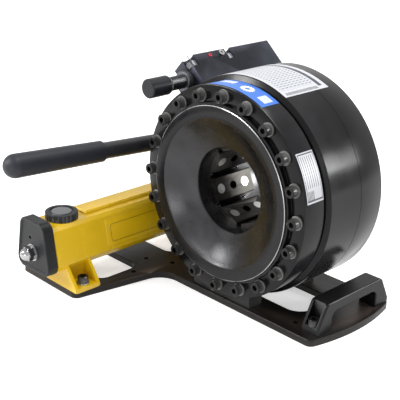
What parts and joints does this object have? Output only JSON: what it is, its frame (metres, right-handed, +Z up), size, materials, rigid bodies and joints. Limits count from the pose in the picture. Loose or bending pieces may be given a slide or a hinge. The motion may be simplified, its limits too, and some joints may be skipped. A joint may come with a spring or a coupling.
{
  "type": "hose crimping machine",
  "caption": "Portable hydraulic hose crimper: radial die drum with funnel cover, micrometer stop, hand pump with lever, ladder base plate and carry handle.",
  "frame": {"origin": "underside of the base plate, straight below the crimp axis, at the middle of the front crossbar", "axes": "+Z up, +Y along the crimp axis away from the operator, +X to the operator's right"},
  "size_m": [0.381, 0.374, 0.2709],
  "materials": {
    "black_gloss": "glossy",
    "plate_coat": "satin powder coat",
    "cast_black": "satin",
    "block_black": "satin, blue-black",
    "black_screw": "black oxide",
    "zinc_screw": "bright zinc",
    "bare_steel": "ground",
    "burnished_steel": "burnished",
    "magnet_steel": "polished",
    "spring_steel": "drawn wire",
    "grey_steel": "satin",
    "dark_steel": "satin black chrome",
    "bronze": "oiled",
    "seal_rubber": "smooth",
    "pump_yellow": "gloss",
    "cap_plastic": "fine grain",
    "nut_chrome": "polished",
    "lever_paint": "satin",
    "grip_rubber": "matt",
    "red_plastic": "gloss"
  },
  "bodies": {
    "frame": {"base_plate": "plate_coat", "drum_saddles": "plate_coat", "saddle_screws": "black_screw", "carry_handle": "cast_black", "handle_screws": "black_screw", "front_cover": "black_gloss", "cover_screws": "black_screw", "cylinder_body": "black_gloss", "inner_sleeve": "bare_steel", "sleeve_screws": "black_screw", "rear_guard": "black_gloss", "micrometer_block": "block_black", "block_screws": "zinc_screw", "indicator_pin": "red_plastic", "port_plug": "zinc_screw", "micrometer_collar": "grey_steel", "micrometer_barrel": "dark_steel", "pump_reservoir": "pump_yellow", "reservoir_end_cap": "cap_plastic", "end_cap_nut": "nut_chrome", "pump_head": "pump_yellow", "pump_feet_screws": "black_screw", "pressure_pipe": "zinc_screw", "pipe_fittings": "zinc_screw"},
    "piston": {"ring_piston": "bare_steel", "piston_seals": "seal_rubber", "slide_plates": "bronze"},
    "lever": {"lever_bracket": "lever_paint", "lever_tube": "lever_paint", "lever_grip": "grip_rubber", "lever_pins": "zinc_screw"},
    "plunger": {"pump_plunger": "bare_steel"},
    "release_valve": {"release_knob": "cap_plastic"},
    "fill_cap": {"filler_cap": "cap_plastic"},
    "stop_spindle": {"micrometer_spindle": "bare_steel"},
    "stop_thimble": {"micrometer_thimble": "dark_steel"},
    "die_1": {"master_die_1": "burnished_steel", "die_magnets_1": "magnet_steel", "die_springs_1": "spring_steel"},
    "die_2": {"master_die_2": "burnished_steel", "die_magnets_2": "magnet_steel", "die_springs_2": "spring_steel"},
    "die_3": {"master_die_3": "burnished_steel", "die_magnets_3": "magnet_steel", "die_springs_3": "spring_steel"},
    "die_4": {"master_die_4": "burnished_steel", "die_magnets_4": "magnet_steel", "die_springs_4": "spring_steel"},
    "die_5": {"master_die_5": "burnished_steel", "die_magnets_5": "magnet_steel", "die_springs_5": "spring_steel"},
    "die_6": {"master_die_6": "burnished_steel", "die_magnets_6": "magnet_steel", "die_springs_6": "spring_steel"},
    "die_7": {"master_die_7": "burnished_steel", "die_magnets_7": "magnet_steel", "die_springs_7": "spring_steel"},
    "die_8": {"master_die_8": "burnished_steel", "die_magnets_8": "magnet_steel", "die_springs_8": "spring_steel"}
  },
  "joints": [
    {"name": "piston_slide", "type": "slide", "parent": "frame", "child": "piston", "axis": [0, -1, 0], "range_m": [0, 0.01716], "stiffness_N_per_m": 2500},
    {"name": "die_1_slide", "type": "slide", "parent": "frame", "child": "die_1", "axis": [-0.9239, 0, -0.3827], "range_m": [0, 0.00801]},
    {"name": "die_2_slide", "type": "slide", "parent": "frame", "child": "die_2", "axis": [-0.3827, 0, -0.9239], "range_m": [0, 0.00801]},
    {"name": "die_3_slide", "type": "slide", "parent": "frame", "child": "die_3", "axis": [0.3827, 0, -0.9239], "range_m": [0, 0.00801]},
    {"name": "die_4_slide", "type": "slide", "parent": "frame", "child": "die_4", "axis": [0.9239, 0, -0.3827], "range_m": [0, 0.00801]},
    {"name": "die_5_slide", "type": "slide", "parent": "frame", "child": "die_5", "axis": [0.9239, 0, 0.3827], "range_m": [0, 0.00801]},
    {"name": "die_6_slide", "type": "slide", "parent": "frame", "child": "die_6", "axis": [0.3827, 0, 0.9239], "range_m": [0, 0.00801]},
    {"name": "die_7_slide", "type": "slide", "parent": "frame", "child": "die_7", "axis": [-0.3827, 0, 0.9239], "range_m": [0, 0.00801]},
    {"name": "die_8_slide", "type": "slide", "parent": "frame", "child": "die_8", "axis": [-0.9239, 0, 0.3827], "range_m": [0, 0.00801]},
    {"name": "lever_hinge", "type": "hinge", "parent": "frame", "child": "lever", "pos_m": [-0.167, 0.158, 0.139], "axis": [-1, 0, 0], "range_deg": [0, 45]},
    {"name": "plunger_slide", "type": "slide", "parent": "frame", "child": "plunger", "axis": [0, 0, 1], "range_m": [0, 0.0201]},
    {"name": "release_hinge", "type": "hinge", "parent": "frame", "child": "release_valve", "pos_m": [-0.134, 0.15, 0.046], "axis": [1, 0, 0], "range_deg": [0, 180]},
    {"name": "fill_cap_hinge", "type": "hinge", "parent": "frame", "child": "fill_cap", "pos_m": [-0.167, -0.121, 0.085], "axis": [0, 0, 1], "range_deg": [0, 270]},
    {"name": "stop_slide", "type": "slide", "parent": "frame", "child": "stop_spindle", "axis": [0, 1, 0], "range_m": [0, 0.0091]},
    {"name": "stop_thimble_hinge", "type": "hinge", "parent": "stop_spindle", "child": "stop_thimble", "pos_m": [-0.11437, -0.03, 0.24012], "axis": [0, 1, 0], "range_deg": [0, 3240]}
  ],
  "couplings": [
    {"joint": "die_1_slide", "follows": "piston_slide", "ratio": 0.46631},
    {"joint": "die_2_slide", "follows": "piston_slide", "ratio": 0.46631},
    {"joint": "die_3_slide", "follows": "piston_slide", "ratio": 0.46631},
    {"joint": "die_4_slide", "follows": "piston_slide", "ratio": 0.46631},
    {"joint": "die_5_slide", "follows": "piston_slide", "ratio": 0.46631},
    {"joint": "die_6_slide", "follows": "piston_slide", "ratio": 0.46631},
    {"joint": "die_7_slide", "follows": "piston_slide", "ratio": 0.46631},
    {"joint": "die_8_slide", "follows": "piston_slide", "ratio": 0.46631},
    {"joint": "plunger_slide", "follows": "lever_hinge", "m_per_rad": 0.0255},
    {"joint": "stop_slide", "follows": "stop_thimble_hinge", "m_per_rad": 0.00015915}
  ]
}
